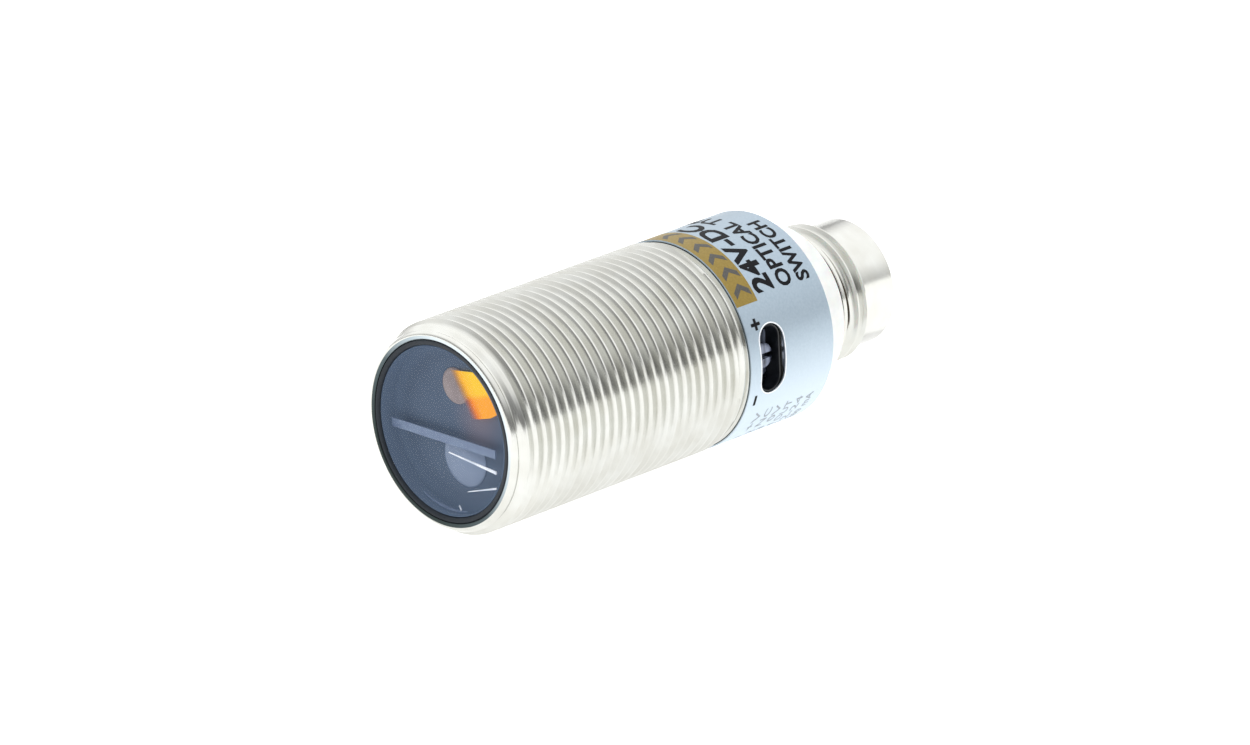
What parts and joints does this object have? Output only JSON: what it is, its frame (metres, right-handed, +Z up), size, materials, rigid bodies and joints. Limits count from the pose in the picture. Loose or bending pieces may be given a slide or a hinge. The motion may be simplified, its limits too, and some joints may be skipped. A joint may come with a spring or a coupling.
{
  "type": "photoelectric sensor",
  "caption": "Cylindrical photoelectric sensor: threaded metal barrel, smoked front window, side sensitivity adjuster and a round rear plug connector.",
  "frame": {"origin": "centre of the front window's outer face, on the barrel's axis", "axes": "+Y along the barrel from the window to the connector, -Y the way the sensor looks, +X the side with the sensitivity adjuster, +Z up"},
  "size_m": [0.018, 0.0475, 0.018],
  "materials": {
    "nickel_plate": "bright nickel plate over turned brass",
    "smoked_window": "polished smoked acrylic",
    "black_rubber": "moulded nitrile rubber",
    "black_plastic": "moulded, lightly textured",
    "grey_plastic": "moulded, smooth",
    "clear_lens": "polished clear acrylic",
    "amber_emitter": "clear tinted epoxy",
    "chip_epoxy": "moulded epoxy",
    "board_laminate": "green solder mask on glass laminate",
    "tinned_steel": "tinned sheet",
    "capacitor_ceramic": "fired ceramic",
    "label_foil": "satin printed foil",
    "pale_light_ring": "moulded translucent plastic",
    "orange_diode": "tinted epoxy",
    "green_diode": "tinted epoxy",
    "gold_contact": "gold plated"
  },
  "bodies": {
    "sensor": {"housing": "nickel_plate", "front_window": "smoked_window", "window_gasket": "black_rubber", "lens_holder": "black_plastic", "light_baffle": "grey_plastic", "emitter_lens": "clear_lens", "receiver_lens": "clear_lens", "emitter_led": "amber_emitter", "receiver_photodiode": "chip_epoxy", "optics_board": "board_laminate", "receiver_amplifier": "chip_epoxy", "amplifier_shield": "tinned_steel", "driver_transistor": "chip_epoxy", "board_link": "black_plastic", "main_board": "board_laminate", "board_carrier": "black_plastic", "control_chip": "chip_epoxy", "protection_diode": "chip_epoxy", "output_transistor": "chip_epoxy", "capacitor_1": "capacitor_ceramic", "capacitor_2": "capacitor_ceramic", "adjuster_body": "black_plastic", "adjuster_seal": "black_rubber", "adjuster_bezel": "black_plastic", "label_sleeve": "label_foil", "indicator_led_orange": "orange_diode", "indicator_led_green": "green_diode", "light_ring": "pale_light_ring", "connector_shell": "nickel_plate", "connector_seal": "black_rubber", "connector_insert": "black_plastic", "connector_board": "board_laminate", "rear_link": "black_plastic", "contact_pin_1": "gold_contact", "contact_pin_2": "gold_contact", "contact_pin_3": "gold_contact", "contact_pin_4": "gold_contact"},
    "adjuster": {"adjuster_rotor": "black_plastic"}
  },
  "joints": [
    {"name": "adjuster_turn", "type": "hinge", "parent": "sensor", "child": "adjuster", "pos_m": [0.005, 0.02898, 0], "axis": [1, 0, 0], "range_deg": [-120, 120]}
  ]
}
